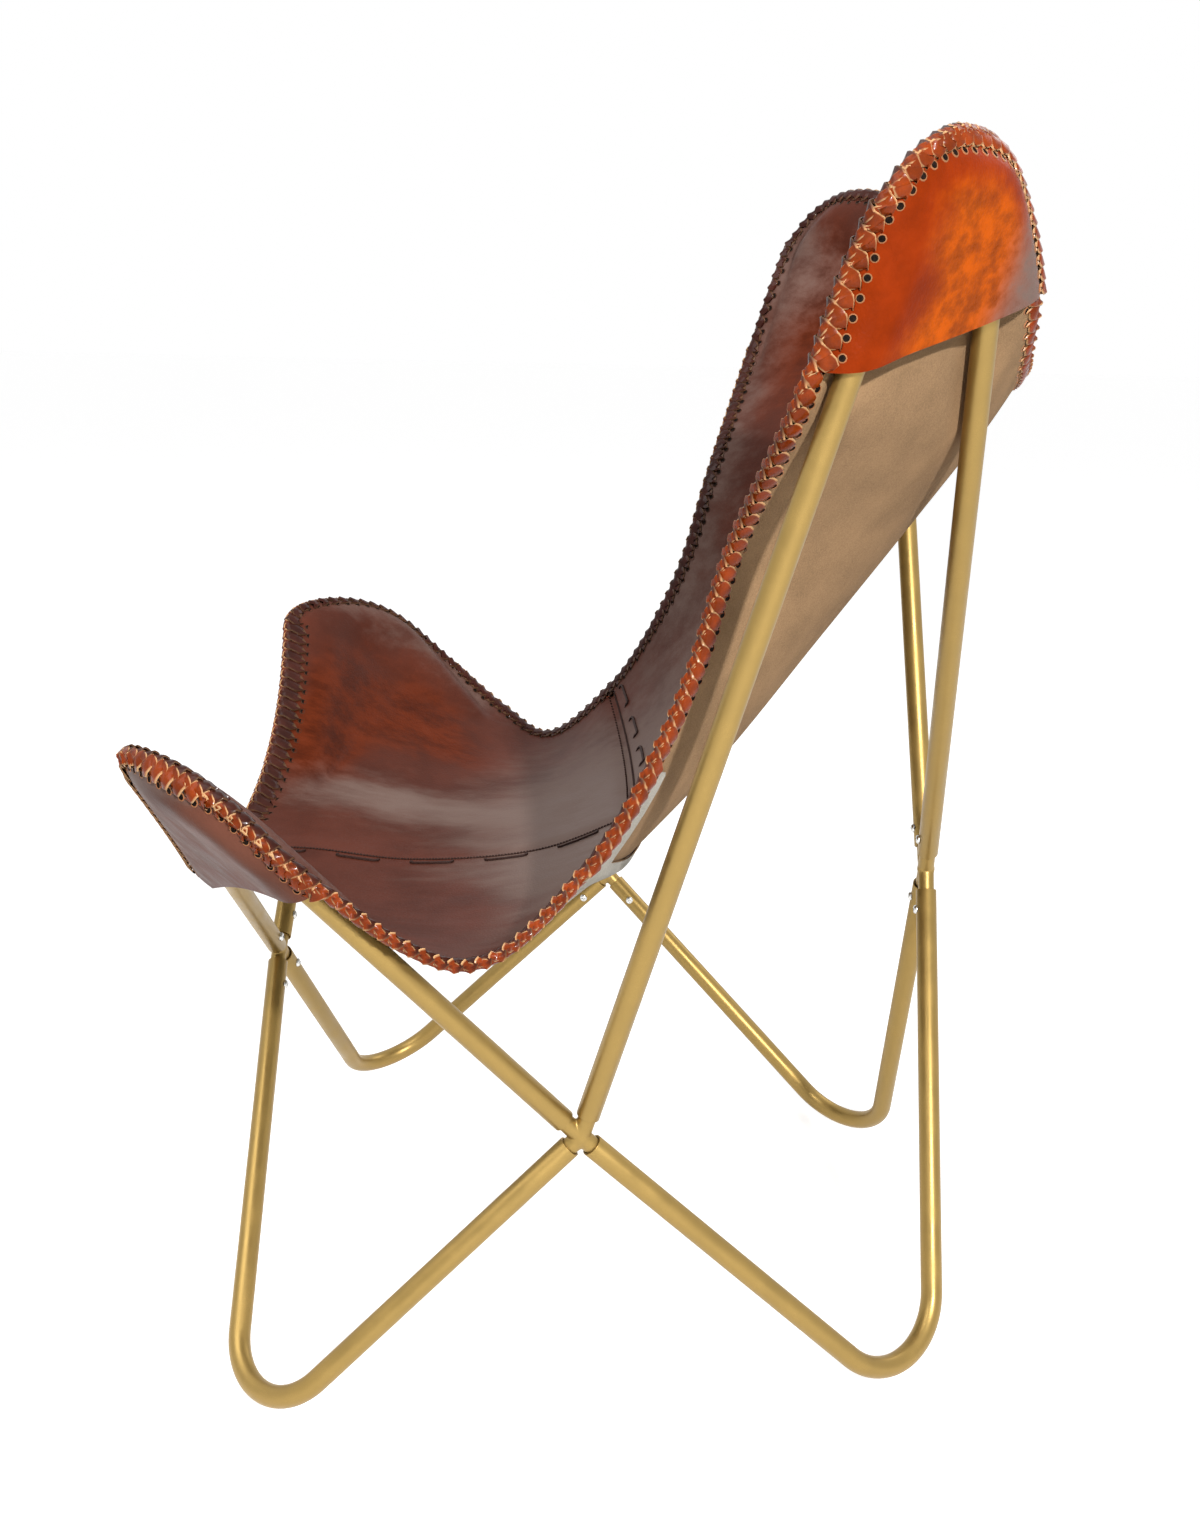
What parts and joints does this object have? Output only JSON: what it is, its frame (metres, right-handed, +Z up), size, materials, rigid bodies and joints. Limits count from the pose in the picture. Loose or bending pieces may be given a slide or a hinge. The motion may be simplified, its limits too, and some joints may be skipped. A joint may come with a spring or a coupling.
{
  "type": "butterfly sling chair",
  "caption": "Butterfly chair: a knock-down frame of gold bent tubes on welded crosses holds a laced leather sling in corner pockets.",
  "frame": {"origin": "on the floor under the middle of the chair's bounding box", "axes": "+Z up, the chair's front faces -Y, the sitter's left is at +X"},
  "size_m": [0.6874, 0.603, 0.8612],
  "materials": {
    "frame_paint": "satin gold paint",
    "screw_steel": "bright plated",
    "sling_leather": "dark brown waxed, semi-gloss",
    "pocket_tan": "burnished orange tan, semi-gloss",
    "pocket_dark": "dark red brown, semi-gloss",
    "thong": "polished thong"
  },
  "bodies": {
    "root": {"back_panel": "sling_leather", "edge_lacing_left": "thong", "edge_lacing_right": "thong", "front_cross": "frame_paint", "front_foot_left_tube": "frame_paint", "front_foot_right_tube": "frame_paint", "front_peak_left_tube": "frame_paint", "front_peak_right_tube": "frame_paint", "front_pocket_left": "pocket_dark", "front_pocket_right": "pocket_dark", "rear_cross": "frame_paint", "rear_foot_left_tube": "frame_paint", "rear_foot_right_tube": "frame_paint", "rear_peak_left_tube": "frame_paint", "rear_peak_right_tube": "frame_paint", "rear_pocket_left": "pocket_tan", "rear_pocket_right": "pocket_tan", "screw_front_foot_left_front": "screw_steel", "screw_front_foot_left_side": "screw_steel", "screw_front_foot_right_front": "screw_steel", "screw_front_foot_right_side": "screw_steel", "screw_front_peak_left_front": "screw_steel", "screw_front_peak_left_side": "screw_steel", "screw_front_peak_right_front": "screw_steel", "screw_front_peak_right_side": "screw_steel", "screw_rear_foot_left_rear": "screw_steel", "screw_rear_foot_left_side": "screw_steel", "screw_rear_foot_right_rear": "screw_steel", "screw_rear_foot_right_side": "screw_steel", "screw_rear_peak_left_rear": "screw_steel", "screw_rear_peak_left_side": "screw_steel", "screw_rear_peak_right_rear": "screw_steel", "screw_rear_peak_right_side": "screw_steel", "seat_panel_left": "sling_leather", "seat_panel_right": "sling_leather", "side_cross_left": "frame_paint", "side_cross_right": "frame_paint"}
  },
  "joints": []
}
